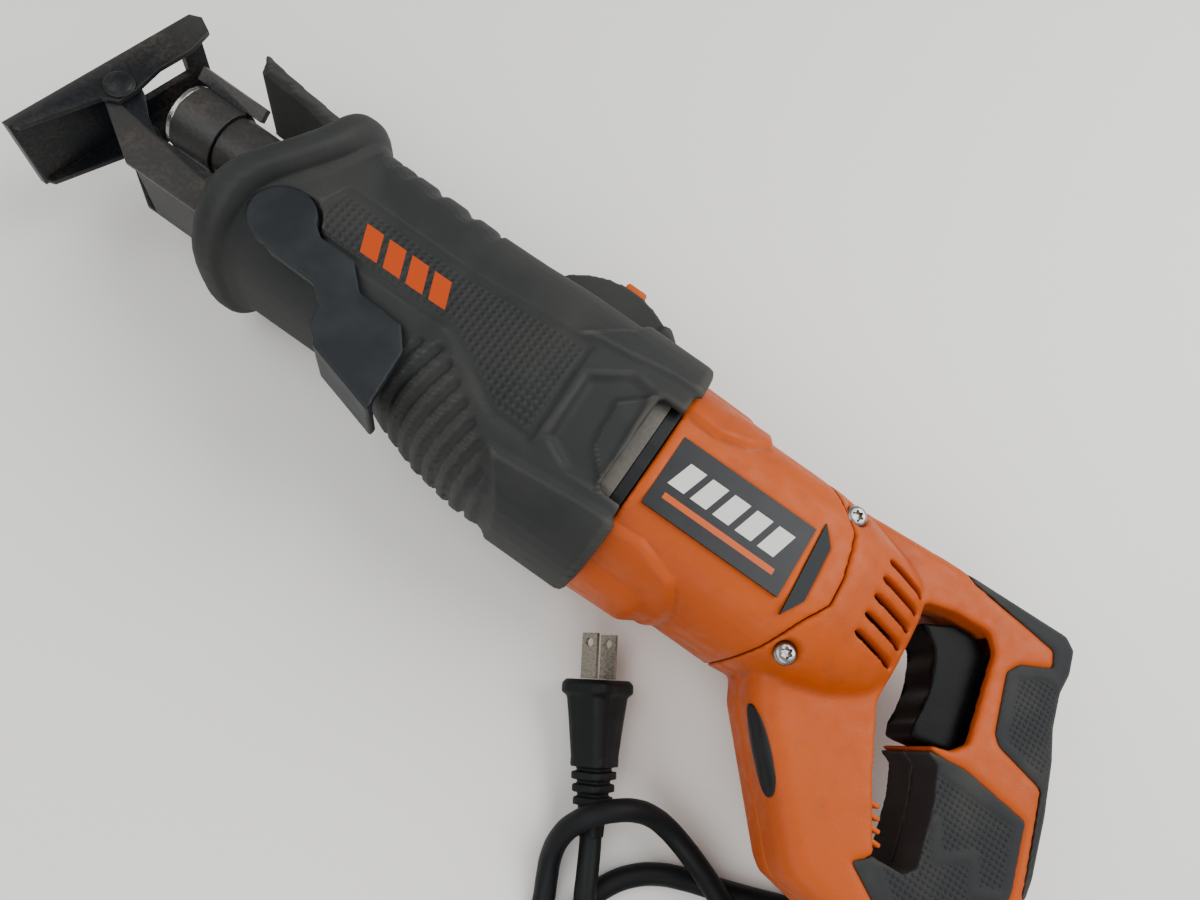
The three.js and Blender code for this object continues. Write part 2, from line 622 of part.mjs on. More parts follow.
// Mains lead. Its points are x, y and the height above the bench.
const coilAt = [191, -133];
const leadPoints = [
  [158.5, -137.3, 43], [158.8, -146, 41.3], [159.3, -152, 37.8], [160, -158, 33.5], [163, -165, 28.6], [168.5, -170.5, 27.6],
];
const cordPoints = [
  [174.6, -87.9, 3.9], [153, -95.6, 3.9], [133, -102.8, 3.9], [118, -108.4, 3.9], [106, -112.3, 3.9],
  [96, -114.7, 3.9], [88, -117.8, 3.9], [80, -123, 3.9], [74, -130, 3.9], [70.6, -138, 3.9],
  [68.6, -146, 3.9], [72.7, -159.8, 3.9], [84.3, -171.3, 3.9], [100, -175.5, 3.9], [115.8, -171.3, 3.9],
  [127.3, -159.8, 3.9], [131.5, -144, 3.9], [127.6, -128.6, 6], [120.2, -119.9, 10], [111.3, -114.6, 12.3],
  [103, -111.4, 12.6], [96, -108.7, 12.2], [88, -106, 11.8], [80, -104.2, 12.6], [73, -103.8, 15.5],
  [66, -105.4, 20.8], [60, -109.4, 23.6], [54, -114.4, 23.4], [49.9, -120.2, 19.4], [48.4, -127, 12.8],
  [50.4, -134, 6.6], [54.7, -140.5, 3.9], [58, -147, 3.9], [61, -154, 3.9], [62.8, -163, 3.9],
  [63, -176, 3.9], [63, -189, 3.9], [67.2, -204.5, 3.9], [78.5, -215.8, 3.9], [94, -220, 3.9],
  [109.5, -215.8, 3.9], [120.8, -204.5, 3.9], [125, -189, 6], [120.8, -173.5, 11.9], [109.5, -162.2, 12.3],
  [96, -158.3, 12.3], [87, -156.9, 12.3], [79.5, -153.6, 12.3], [73, -148, 12.3], [68, -140.5, 12],
  [64.6, -131.5, 11.5], [60, -123, 10.8],
];
const lead = new THREE.Group();
lead.position.z = bench + 0.2;
saw.add(lead);

function cord(points) {
  const path = new THREE.CatmullRomCurve3(points.map((p) => new THREE.Vector3(...p)));
  const section = new THREE.Shape();
  section.absarc(0, 0, cordR, 0, 2 * Math.PI, false);
  const steps = Math.ceil(path.getLength() / (3 * cordR));
  const options = { steps, extrudePath: path, bevelEnabled: false, curveSegments: 5 };
  return solid(new THREE.ExtrudeGeometry(section, options));
}

// A ring of stored turns, as one solid, and the strap that ties them.
function coilRing(grow) {
  const inner = coilTurnR - coilHalf - grow;
  const outer = coilTurnR + coilHalf + grow;
  const profile = [[inner, -grow], [outer, -grow], [outer, coilHigh + grow], [inner, coilHigh + grow], [inner, -grow]];
  const ring = new THREE.LatheGeometry(profile.map(([r, s]) => new THREE.Vector2(r, s)), 40);
  return solid(ring.rotateX(Math.PI / 2).translate(coilAt[0], coilAt[1], 0));
}
piece("cord_lead", cut(cord(leadPoints), coilRing(gap)), finish.black, lead);
piece("cord_coil", coilRing(0), finish.black, lead);
piece("cord_run", cut(cord(cordPoints), coilRing(gap)), finish.black, lead);

// Strain relief at the handle's foot.
const reliefTop = -98;
const reliefProfile = [
  [0, -reliefLength - 2],
  [5, -reliefLength - 2],
  [reliefR, -5],
  [reliefR, 0],
  [reliefR + 1.2, 0],
  [reliefR + 1.2, 2],
  [0, 2],
];
const relief = turned("y", [reliefX, 0], reliefProfile.map(([r, s]) => [r, s + reliefTop]), 20);
piece("cord_strain_relief", relief, finish.black);

// Plug: two blades in a moulded body turned half on its corner, with a ribbed relief.
const plugFace = new THREE.Vector3(31.5, -76.5, 14);
const plugEnd = new THREE.Vector3(59.4, -122, 10.8);
const plug = new THREE.Group();
plug.position.copy(plugFace);
plug.quaternion.setFromUnitVectors(new THREE.Vector3(0, 1, 0), plugFace.clone().sub(plugEnd).normalize());
lead.add(plug);
const plugLength = plugFace.distanceTo(plugEnd);
const plugTurn = THREE.MathUtils.degToRad(48);
function stacked(layers) {
  const stations = layers.map(([s, wide, deep]) => [s, wide / 2, -wide / 2, deep / 2, 4]);
  const form = casing(stations, 0, 20);
  return form.rotate([0, 0, 90]).rotate([0, THREE.MathUtils.radToDeg(plugTurn), 0]);
}
function plugBody() {
  const shell = [[0, 23, 18], [-1.5, 25.5, 20.5], [-4.5, 25.5, 20.5], [-6, 21.5, 17.5], [-15, 18.5, 16], [-27, 15.5, 14]];
  const ribs = Array.from({ length: 4 }, (_, i) => {
    const size = 15.4 - 0.9 * i;
    return stacked([[-29.8 - 4.2 * i, size, size - 1], [-27.2 - 4.2 * i, size, size - 1]]);
  });
  return join(stacked(shell.reverse()), stacked([[0.3 - plugLength, 7.4, 7.4], [-26, 12, 11]]), ...ribs);
}
piece("plug_body", plugBody(), finish.black, plug);
for (const [name, side] of [["left", 1], ["right", -1]]) {
  const blade = new THREE.BoxGeometry(1.5, 16, 6.35).translate(side * 6.35, 8.3, 0);
  const hole = new THREE.CylinderGeometry(1.6, 1.6, 6, 12).rotateZ(Math.PI / 2).translate(side * 6.35, 13, 0);
  const made = cut(solid(blade.rotateY(plugTurn)), solid(hole.rotateY(plugTurn)));
  piece(`plug_blade_${name}`, made, finish.nickel, plug);
}

// The group is centred on the saw's own box, without its lead, and stands on z = 0.
const own = new THREE.Box3();
for (const part of saw.children) if (part.isMesh) own.expandByObject(part);
const reach = own.getCenter(new THREE.Vector3());
const placed = new THREE.Group();
saw.position.set(-reach.x, -reach.y, -bench);
placed.add(saw);

export default placed;
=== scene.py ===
import math

import bmesh
import bpy
from mathutils import Matrix, Vector


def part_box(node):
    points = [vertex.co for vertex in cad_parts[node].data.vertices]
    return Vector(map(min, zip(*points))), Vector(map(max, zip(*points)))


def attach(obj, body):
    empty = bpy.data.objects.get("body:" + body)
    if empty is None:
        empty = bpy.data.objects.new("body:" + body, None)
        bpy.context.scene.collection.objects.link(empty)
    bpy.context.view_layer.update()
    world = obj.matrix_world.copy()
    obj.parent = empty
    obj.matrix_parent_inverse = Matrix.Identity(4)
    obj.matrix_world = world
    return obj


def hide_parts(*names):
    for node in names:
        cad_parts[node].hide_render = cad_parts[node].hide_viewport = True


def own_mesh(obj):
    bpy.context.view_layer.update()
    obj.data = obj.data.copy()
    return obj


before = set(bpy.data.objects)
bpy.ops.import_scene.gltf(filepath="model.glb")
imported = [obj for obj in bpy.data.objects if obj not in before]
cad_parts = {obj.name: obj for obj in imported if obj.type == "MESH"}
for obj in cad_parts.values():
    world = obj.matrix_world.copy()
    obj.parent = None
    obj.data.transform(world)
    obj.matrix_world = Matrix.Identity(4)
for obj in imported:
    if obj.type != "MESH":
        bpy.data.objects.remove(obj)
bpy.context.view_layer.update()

# ---------------------------------------------------------------------------------------------
# Where things are. The saw's own directions are x from shoe to handle, y to its top edge and z
# to its left side; x = 0 is the joint of boot and motor housing, y = z = 0 the spindle.
MM = 0.001
MM_IN_METRE = 1000
spindle_low, spindle_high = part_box("spindle")
seam_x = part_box("motor_housing")[0].x - 0.2 * MM
spindle_y = (spindle_low.y + spindle_high.y) / 2
mid_z = (spindle_low.z + spindle_high.z) / 2


def at(x, y, z=0.0):
    return Vector((seam_x + x * MM, spindle_y + y * MM, mid_z + z * MM))


# ---------------------------------------------------------------------------------------------
# The camera looks down at the saw's left side from beyond its underside, turned so that the saw
# lies across the view from corner to corner.
camera_data = bpy.data.cameras.new("camera")
camera_data.lens = 27
camera_data.sensor_width = 36
camera = bpy.data.objects.new("camera", camera_data)
right = Vector((0.81704, 0.54420, 0.19035))
up = Vector((-0.57636, 0.76187, 0.29540))
look = Matrix((right, up, right.cross(up))).transposed()
camera.matrix_world = Matrix.Translation(at(-10.9, -127.3, 301)) @ look.to_4x4()
bpy.context.scene.collection.objects.link(camera)
bpy.context.scene.camera = camera


# ---------------------------------------------------------------------------------------------
# The mains lead: 7.8 mm black flexible cord. It leaves the handle's foot, is stored in a round
# coil beside the saw, runs back in two loose loops and ends in the moulded plug.
CORD_R = 3.9
COIL_AT = (191, -133)
TURNS = [(40, 2), (48, 2), (48, 1), (40, 1), (32, 1), (32, 0), (40, 0), (48, 0)]
FULL_TURN = 360
COIL_START = 310  # degrees round the coil, counter-clockwise from above
COIL_END = len(TURNS) * FULL_TURN + 110
COIL_STEP = 25
CHANGEOVER = 0.16  # the share of a turn in which the cord eases over to the next one's place
CORD_LIE = 0.2  # the lowest the cord lies off the bench

cord_lead = [
    (158.5, -136.6, 43.3), (158.8, -146, 41.3), (159.3, -152, 37.8), (160, -158, 33.5), (163, -165, 28.8),
    (168.5, -170.5, 27.6), (178, -174.6, 27.2), (190, -176, 26),
]  # fmt: skip
cord_run = [
    (153, -95.6, 3.9), (133, -102.8, 3.9), (118, -108.4, 3.9), (106, -112.3, 3.9), (96, -114.7, 3.9),
    (88, -117.8, 3.9), (80, -123, 3.9), (74, -130, 3.9), (70.6, -138, 3.9), (68.6, -146, 3.9),
    (72.7, -159.8, 3.9), (84.3, -171.3, 3.9), (100, -175.5, 3.9), (115.8, -171.3, 3.9),
    (127.3, -159.8, 3.9), (131.5, -144, 3.9), (127.6, -128.6, 6), (120.2, -119.9, 10),
    (111.3, -114.6, 12.3), (103, -111.4, 12.6), (96, -108.7, 12.2), (88, -106, 11.8), (80, -104.2, 12.6),
    (73, -103.8, 15.5), (66, -105.4, 20.8), (60, -109.4, 23.6), (54, -114.4, 23.4), (49.9, -120.2, 19.4),
    (48.4, -127, 12.8), (50.4, -134, 6.6), (54.7, -140.5, 3.9), (58, -147, 3.9), (61, -154, 3.9),
    (62.8, -163, 3.9), (63, -176, 3.9), (63, -189, 3.9), (67.2, -204.5, 3.9), (78.5, -215.8, 3.9),
    (94, -220, 3.9), (109.5, -215.8, 3.9), (120.8, -204.5, 3.9), (125, -189, 6), (120.8, -173.5, 11.9),
    (109.5, -162.2, 12.3), (96, -158.3, 12.3), (87, -156.9, 12.3), (79.5, -153.6, 12.3), (73, -148, 12.3),
    (68, -140.5, 12), (64.6, -131.5, 11.5), (60.1, -123.2, 10.8), (57.6, -119.2, 10.8),
]  # fmt: skip


def coil_point(angle):
    """A point of the stored turns: each turn keeps its place, then eases over to the next one's."""
    through = (angle - COIL_START) / FULL_TURN
    turn = min(int(through), len(TURNS) - 1)
    after = min(turn + 1, len(TURNS) - 1)
    ease = max(0.0, (through - turn - (1 - CHANGEOVER)) / CHANGEOVER)
    ease = ease * ease * (3 - 2 * ease)
    radius = TURNS[turn][0] + (TURNS[after][0] - TURNS[turn][0]) * ease
    layer = TURNS[turn][1] + (TURNS[after][1] - TURNS[turn][1]) * ease
    turned = math.radians(angle)
    x = COIL_AT[0] + radius * math.cos(turned)
    y = COIL_AT[1] + radius * math.sin(turned)
    return (x, y, CORD_R + 2 * CORD_R * layer)


def eased_route(points, share):
    """Each inner point moved a share of the way to the middle of its neighbours, so the lay is even."""
    middle = [
        tuple(p + share * ((a + b) / 2 - p) for a, p, b in zip(before, here, after))
        for before, here, after in zip(points, points[1:], points[2:])
    ]
    return points[:1] + middle + points[-1:]


coil = [coil_point(angle) for angle in range(COIL_START, COIL_END + 1, COIL_STEP)]
cord_lead = eased_route(eased_route(cord_lead, 0.5), 0.5)
cord_run = eased_route(eased_route(cord_run, 0.5), 0.3)
route = [at(x, y, 0) + Vector((0, 0, (h + CORD_LIE) * MM - mid_z)) for x, y, h in cord_lead + coil + cord_run]
cord_curve = bpy.data.curves.new("mains_cord", "CURVE")
cord_curve.dimensions = "3D"
cord_curve.bevel_depth = 1  # times the radius of each point
cord_curve.bevel_resolution = 5
cord_curve.resolution_u = 5
cord_curve.use_fill_caps = True
spline = cord_curve.splines.new("BEZIER")
spline.bezier_points.add(len(route) - 1)
for knot, point in zip(spline.bezier_points, route):
    knot.co = point
    knot.handle_left_type = knot.handle_right_type = "AUTO"
    knot.radius = CORD_R * MM
cord = bpy.data.objects.new("mains_cord", cord_curve)
bpy.context.scene.collection.objects.link(cord)
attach(cord, "saw")
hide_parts("cord_lead", "cord_coil", "cord_run")


# ---------------------------------------------------------------------------------------------
# Its sheath is soft black PVC with a slight sheen. Finishes are made with a small class: an
# expression on values of a surface adds its Math nodes, and colours go through Mix nodes.
class Value:
    def __init__(self, finish, socket):
        self.finish, self.socket = finish, socket

    def math(self, operation, *others, clamp=False):
        settings = {"operation": operation, "use_clamp": clamp}
        return self.finish.node("ShaderNodeMath", settings, dict(enumerate((self, *others))))

    def __add__(self, other):
        return self.math("ADD", other)

    def __sub__(self, other):
        return self.math("SUBTRACT", other)

    def __rsub__(self, other):
        return self.finish.node("ShaderNodeMath", {"operation": "SUBTRACT"}, {0: other, 1: self})

    def __mul__(self, other):
        return self.math("MULTIPLY", other)

    __radd__ = __add__
    __rmul__ = __mul__


class Finish:
    def __init__(self, name, roughness=0.5, metallic=0.0, gleam=0.3):
        self.material = bpy.data.materials.new(name)
        self.material.use_nodes = True
        self.nodes, self.links = self.material.node_tree.nodes, self.material.node_tree.links
        self.shader = self.nodes["Principled BSDF"]
        self.put("Roughness", roughness)
        self.put("Metallic", metallic)
        self.put("Specular IOR Level", gleam)
        self.place = self.node("ShaderNodeTexCoord", {}, {}, "Object")

    def feed(self, socket, value):
        """Gives a socket the value of another node, or a constant."""
        if isinstance(value, Value):
            self.links.new(value.socket, socket)
        else:
            socket.default_value = value

    def node(self, kind, settings, sockets, out=0):
        made = self.nodes.new(kind)
        for key, value in settings.items():
            setattr(made, key, value)
        for key, value in sockets.items():
            self.feed(made.inputs[key], value)
        return Value(self, made.outputs[out])

    def put(self, socket, value):
        self.feed(self.shader.inputs[socket], value)

    def noise(self, size_mm, detail=3.0, low=0.0, high=1.0):
        """Soft noise with features of about size_mm, stretched so that low to high becomes 0 to 1."""
        sockets = {"Vector": self.place, "Scale": MM_IN_METRE / size_mm, "Detail": detail}
        raw = self.node("ShaderNodeTexNoise", {}, sockets, "Fac")
        span = {"From Min": low, "From Max": high, "Value": raw}
        return self.node("ShaderNodeMapRange", {"clamp": True}, span, "Result")

    def axis(self, index):
        return self.node("ShaderNodeSeparateXYZ", {}, {"Vector": self.place}, index)

    def layer(self, name):
        return self.node("ShaderNodeAttribute", {"attribute_name": name}, {}, "Fac")

    def mix(self, share, under, over):
        made = self.nodes.new("ShaderNodeMix")
        made.data_type = "RGBA"
        for key, value in {"Factor": share, "A": under, "B": over}.items():
            self.feed(next(s for s in made.inputs if s.name == key and s.enabled), value)
        return Value(self, next(s for s in made.outputs if s.enabled))

    def bump(self, height, depth_mm):
        sockets = {"Height": height, "Distance": depth_mm * MM, "Strength": 1.0}
        self.put("Normal", self.node("ShaderNodeBump", {}, sockets, "Normal"))

    def on(self, *pieces):
        for piece in pieces:
            if not piece.material_slots:
                piece.data.materials.append(self.material)
            for slot in piece.material_slots:
                slot.material = self.material
        return pieces[0]


def colour(red, green, blue):
    """An opaque colour from its everyday 0 to 255 values, each turned into its share of light."""
    shares = [
        ((value / 255 + 0.055) / 1.055) ** 2.4 if value > 10 else value / 3295
        for value in (red, green, blue)
    ]
    return (*shares, 1)


def sheath_finish():
    finish = Finish("black_pvc", gleam=0.22)
    smear = finish.noise(30, 4, 0.35, 0.75)
    finish.put("Base Color", finish.mix(smear * 0.5, colour(9, 11, 13), colour(19, 21, 23)))
    finish.put("Roughness", 0.46 + 0.2 * finish.noise(12, 3, 0.3, 0.7))
    finish.bump(finish.noise(1.2, 3), 0.05)
    return finish


black_pvc = sheath_finish()
black_pvc.on(cord)


# ---------------------------------------------------------------------------------------------
# The plug and the cord's strain relief are moulded on in the same black PVC. A moulded piece
# starts as a copy of its solid, remeshed finely and softened so that its edges are rounded.
WELD = 0.005 * MM  # corners of a solid's faces nearer than this are one corner


def moulded(node, step_mm, passes, body):
    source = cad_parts[node]
    form = bmesh.new()
    form.from_mesh(source.data)
    bmesh.ops.remove_doubles(form, verts=form.verts, dist=WELD)
    rough = bpy.data.meshes.new(node + "_form")
    form.to_mesh(rough)
    form.free()
    shaping = bpy.data.objects.new(node + "_form", rough)
    bpy.context.scene.collection.objects.link(shaping)
    remesh = shaping.modifiers.new("remesh", "REMESH")
    remesh.mode, remesh.voxel_size = "VOXEL", step_mm * MM
    soften = shaping.modifiers.new("soften", "SMOOTH")
    soften.iterations, soften.factor = passes, 0.5
    softened = shaping.evaluated_get(bpy.context.evaluated_depsgraph_get())
    finished = bpy.data.meshes.new_from_object(softened)
    bpy.data.objects.remove(shaping)
    finished.materials.clear()
    finished.shade_smooth()
    piece = bpy.data.objects.new(node + "_moulding", finished)
    bpy.context.scene.collection.objects.link(piece)
    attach(piece, body)
    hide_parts(node)
    return piece


plug = black_pvc.on(moulded("plug_body", 0.45, 4, "saw"))


def turned_piece(name, profile, centre, axis, body, steps=40):
    """A closed piece spun from its profile, [radius, place along the axis] in millimetres."""
    form = bmesh.new()
    points = [form.verts.new((r * MM, 0, s * MM)) for r, s in profile]
    edges = [form.edges.new(pair) for pair in zip(points, points[1:])]
    bmesh.ops.spin(
        form,
        geom=points + edges,
        cent=(0, 0, 0),
        axis=(0, 0, 1),
        angle=2 * math.pi,
        steps=steps,
        use_merge=True,
    )
    bmesh.ops.remove_doubles(form, verts=form.verts, dist=0.002 * MM)
    bmesh.ops.recalc_face_normals(form, faces=form.faces)
    turn = Vector((0, 0, 1)).rotation_difference(axis).to_matrix()
    bmesh.ops.rotate(form, verts=form.verts, cent=(0, 0, 0), matrix=turn)
    bmesh.ops.translate(form, verts=form.verts, vec=centre)
    return made_of(form, name, body)


def made_of(form, name, body):
    """A smooth-shaded piece from a finished bmesh."""
    mesh = bpy.data.meshes.new(name)
    form.to_mesh(mesh)
    form.free()
    mesh.shade_smooth()
    piece = bpy.data.objects.new(name, mesh)
    bpy.context.scene.collection.objects.link(piece)
    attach(piece, body)
    return piece


RELIEF_RINGS = 6
RING_PITCH = 5
relief_profile = [(0, 0), (8.2, 0), (8.2, -1.8), (7, -2.2), (7, -6)]
for ring in range(RELIEF_RINGS):
    near, wide = -7 - RING_PITCH * ring, 6.9 - 0.32 * ring
    relief_profile += [(wide, near), (wide, near - 3), (wide - 1.3, near - 3.4), (wide - 1.4, near - 4.6)]
relief_profile += [(5.1, -38), (4.6, -38.4), (0, -38.4)]
foot = at(158.5, -97.4)
relief = turned_piece("relief_moulding", relief_profile, foot, Vector((0, 1, 0)), "saw")
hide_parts("cord_strain_relief")
black_pvc.on(relief)


# ---------------------------------------------------------------------------------------------
# The plug's two blades are nickel-plated brass with a hole near the tip, scratched from use.
def plated_finish():
    finish = Finish("nickel_plate", metallic=1.0)
    scratch = finish.noise(0.8, 4, 0.4, 0.7)
    finish.put("Base Color", finish.mix(scratch, colour(168, 162, 148), colour(118, 110, 98)))
    finish.put("Roughness", 0.28 + 0.25 * scratch)
    return finish


nickel_plate = plated_finish()
for side in ("left", "right"):
    nickel_plate.on(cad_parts["plug_blade_" + side])


# ---------------------------------------------------------------------------------------------
# The boot: one moulding of thick dark grey rubber drawn over the gear case, open at both ends.
# It has ribs over its top and belly, a dimpled panel on each side, a sunk facet behind that
# panel, raised shoulders above and below the facet, and a thick flange round its front end.
def rise(low, high, value):
    """0 at low and 1 at high, with a smooth change between them."""
    share = min(1.0, max(0.0, (value - low) / (high - low)))
    return share * share * (3 - 2 * share)


def off_line(x, y, points):
    """The distance from x, y to a line through the points."""
    nearest = 1e9
    for (ax, ay), (bx, by) in zip(points, points[1:]):
        dx, dy = bx - ax, by - ay
        share = min(1.0, max(0.0, ((x - ax) * dx + (y - ay) * dy) / (dx * dx + dy * dy)))
        nearest = min(nearest, math.hypot(x - ax - dx * share, y - ay - dy * share))
    return nearest


def inside(x, y, outline):
    """How far x, y lies inside a closed outline, or, below zero, outside it."""
    crossings = 0
    closed = outline + outline[:1]
    for (ax, ay), (bx, by) in zip(closed, closed[1:]):
        if (ay > y) != (by > y) and x < (bx - ax) * (y - ay) / (by - ay) + ax:
            crossings += 1
    distance = off_line(x, y, closed)
    return distance if crossings % 2 else -distance


def press(piece, rule, layer=None):
    """Moves a moulding's skin along its normal. The rule gives millimetres and a layer's value."""
    mesh = piece.data
    origin = at(0, 0, 0)
    normals = [vertex.normal.copy() for vertex in mesh.vertices]
    values = []
    for vertex, normal in zip(mesh.vertices, normals):
        x, y, z = (vertex.co - origin) / MM
        out, value = rule(x, y, z, normal)
        values.append(value)
        if out:
            vertex.co += normal * out * MM
    if layer:
        mesh.attributes.new(layer, "FLOAT", "POINT").data.foreach_set("value", values)
    mesh.update()
    mesh.shade_smooth()


DIMPLE_PANEL = [(-137, -4), (-37, -3), (-35, -40), (-49, -40), (-77, -23), (-137, -23)]
FACET = [(-31.7, -36.4), (-32.8, -11.5), (-20, -1.2), (-10.5, -2.5), (-7.3, -41.2), (-20.8, -41.9)]
FACET_INNER = [(-18.1, -30.6), (-20, -12.6), (-11.1, -3.8), (-7.5, -41)]
TOP_SHOULDER = [(-44, -2), (-24, 1), (-10, 4), (3, 5), (3, 60), (-14, 60), (-30, 12)]
LOWER_SHOULDER = [(-45, -47), (-30, -46), (-12, -44.5), (3, -44), (3, -90), (-16, -90), (-34, -58)]
BELLY_PANEL = [(-84, -31), (-74, -29), (-46, -47), (-34, -60), (-22, -60), (-22, -70), (-50, -70), (-84, -60)]
BOOT_MIDDLE = -13  # the height its skin faces away from
FLANGE_X, FLANGE_BACK_X = -154, -149
RIBS_X = (-150, -86)
RIB_PITCH = 13
BELLY_PITCH = 6.4
BARS_SLOPE = (-124, -88)  # a slanting row of orange bars painted on the dimpled panels
BARS_Y = (-19, -9.5)
BAR_PITCH, BAR_WIDTH = 9, 6.6
DIMPLE_PITCH = 2.5


def boot_skin(x, y, z, normal):
    if normal.y * (y - BOOT_MIDDLE) + normal.z * z < 0:
        return 0, 0
    if x < FLANGE_X:
        return 1.3, 0
    side = rise(0.45, 0.85, abs(normal.z))
    crown = rise(0.3, 0.8, abs(normal.y))
    out = 1.3 * rise(FLANGE_BACK_X, FLANGE_X, x)
    if RIBS_X[0] < x < RIBS_X[1] and normal.y > 0:
        hollowness = 0.5 + 0.5 * math.cos((x - RIBS_X[1]) * 2 * math.pi / RIB_PITCH)
        out -= crown * 1.3 * rise(0.55, 0.95, hollowness)
    panel = inside(x, y, DIMPLE_PANEL)
    out -= side * (0.9 * rise(-0.6, 0.6, panel) + 0.9 * math.exp(-((panel / 1.3) ** 2)))
    out -= side * 2.6 * rise(-0.3, 3.4, inside(x, y, FACET))
    out += side * 1.3 * rise(-0.5, 0.5, inside(x, y, FACET_INNER))
    shoulder = max(inside(x, y, TOP_SHOULDER), inside(x, y, LOWER_SHOULDER))
    out += 2.0 * rise(-0.7, 1.6, shoulder)
    belly = rise(0, 2, inside(x, y, BELLY_PANEL)) if x > RIBS_X[1] else 0
    wave = 0.5 + 0.5 * math.cos((x * 0.96 - y * 0.27) * 2 * math.pi / BELLY_PITCH)
    out -= belly * 1.6 * rise(0.45, 0.85, wave)
    return out, side * rise(1.6, 2.6, panel)


def rubber_finish():
    finish = Finish("boot_rubber_grey", gleam=0.2)
    x = (finish.axis(0) - at(0, 0).x) * MM_IN_METRE
    y = (finish.axis(1) - at(0, 0).y) * MM_IN_METRE
    dust = finish.noise(45, 5, 0.42, 0.72)
    edge = finish.node("ShaderNodeNewGeometry", {}, {}, "Pointiness")
    worn = edge.math("SUBTRACT", 0.515).math("MULTIPLY", 14, clamp=True)
    base = finish.mix(dust, colour(39, 41, 41), colour(56, 57, 54))
    base = finish.mix(worn * 0.5, base, colour(92, 88, 82))
    slope = x + y * 0.45
    bars = (slope + -BARS_SLOPE[0]).math("WRAP", BAR_PITCH, 0).math("LESS_THAN", BAR_WIDTH)
    bars = bars * slope.math("GREATER_THAN", BARS_SLOPE[0]) * slope.math("LESS_THAN", BARS_SLOPE[1])
    bars = bars * y.math("LESS_THAN", BARS_Y[1]) * y.math("GREATER_THAN", BARS_Y[0])
    front = finish.layer("dimples").math("GREATER_THAN", 0.5)
    bars = bars * front
    finish.put("Base Color", finish.mix(bars, base, colour(176, 62, 10)))
    flat = finish.node("ShaderNodeCombineXYZ", {}, {0: finish.axis(0), 1: finish.axis(1)})
    pits = {"Vector": flat, "Scale": MM_IN_METRE / DIMPLE_PITCH, "Randomness": 0.0}
    pit = finish.node("ShaderNodeTexVoronoi", {"voronoi_dimensions": "2D"}, pits, "Distance")
    dimple = pit.math("LESS_THAN", 0.5) * (0.5 - pit) * 2 * finish.layer("dimples") * (1 - bars)
    finish.bump(finish.noise(0.7, 2) * 0.14 - dimple * 1.0, 0.62)
    finish.put("Roughness", 0.62 + 0.2 * dust)
    return finish


boot = moulded("rubber_boot", 1.15, 3, "saw")
press(boot, boot_skin, "dimples")
FLANGE_LEAN = 15  # how far the flange leans back towards the top of the nose
for vertex in boot.data.vertices:
    x, y, _ = (vertex.co - at(0, 0, 0)) / MM
    vertex.co.x += FLANGE_LEAN * MM * rise(-30, 12, y) * rise(-116, -156, x) * rise(-198, -167, x)
boot_rubber_grey = rubber_finish()
boot_rubber_grey.on(boot)


# ---------------------------------------------------------------------------------------------
# The motor housing and the two handle halves: glass-filled nylon, moulded in orange with a fine
# spark texture, the halves screwed together along the middle and scuffed by use.
def orange_finish():
    finish = Finish("orange_nylon", gleam=0.25)
    fade = finish.noise(60, 3, 0.35, 0.7)
    grime = finish.noise(9, 6, 0.56, 0.78)
    edge = finish.node("ShaderNodeNewGeometry", {}, {}, "Pointiness")
    # Painted shade: the orange is darkened towards brown-black in the creases, seams and hollows of the
    # mouldings, which are found from their pointiness.
    hollowness = (0.492 - edge).math("MULTIPLY", 30, clamp=True)
    base = finish.mix(fade, colour(182, 77, 8), colour(168, 68, 6))
    base = finish.mix(grime * 0.35, base, colour(128, 62, 26))
    # the painted shade in the hollows goes over the base colour
    finish.put("Base Color", finish.mix(hollowness * 0.6, base, colour(70, 34, 18)))
    finish.put("Roughness", 0.42 + 0.2 * finish.noise(5, 4, 0.35, 0.7))
    finish.bump(finish.noise(0.55, 2), 0.07)
    return finish


orange_nylon = orange_finish()
housing = moulded("motor_housing", 1.0, 3, "saw")
TOP_FAIRING = [(-2, 30), (-2, 0), (13, -1), (24, 3), (31, 10), (31, 30)]
LOWER_FAIRING = [(-2, -70), (-2, -43), (12, -42), (27, -46), (35, -53), (35, -70)]
HOUSING_MIDDLE = -17


def housing_skin(x, y, z, normal):
    if normal.y * (y - HOUSING_MIDDLE) + normal.z * z < 0:
        return 0, 0
    raised = max(inside(x, y, TOP_FAIRING), inside(x, y, LOWER_FAIRING))
    return 2.2 * rise(-1, 2.2, raised), 0


press(housing, housing_skin)
handle_left = moulded("handle_left", 1.0, 6, "saw")
handle_right = moulded("handle_right", 1.0, 6, "saw")
orange_nylon.on(housing, handle_left, handle_right)


# ---------------------------------------------------------------------------------------------
# The soft grips: dark grey rubber moulded over the handle's back and front. Their sides carry
# small raised dots inside a smooth border.
DOT_PITCH = 1.9
DOT_R = 0.4  # in parts of the pitch


def grip_finish():
    finish = Finish("grip_rubber_grey", roughness=0.7, gleam=0.2)
    dust = finish.noise(25, 5, 0.45, 0.7)
    edge = finish.node("ShaderNodeNewGeometry", {}, {}, "Pointiness")
    worn = edge.math("SUBTRACT", 0.52).math("MULTIPLY", 12, clamp=True)
    base = finish.mix(dust, colour(41, 42, 43), colour(54, 54, 52))
    finish.put("Base Color", finish.mix(worn * 0.4, base, colour(88, 85, 80)))
    flat = finish.node("ShaderNodeCombineXYZ", {}, {0: finish.axis(0), 1: finish.axis(1)})
    grid = {"Vector": flat, "Scale": MM_IN_METRE / DOT_PITCH, "Randomness": 0.0}
    dot = finish.node("ShaderNodeTexVoronoi", {"voronoi_dimensions": "2D"}, grid, "Distance")
    dots = dot.math("LESS_THAN", DOT_R) * (DOT_R - dot) * 2.5 * finish.layer("dots")
    finish.bump(dots + finish.noise(0.6, 2) * 0.1, 0.6)
    return finish


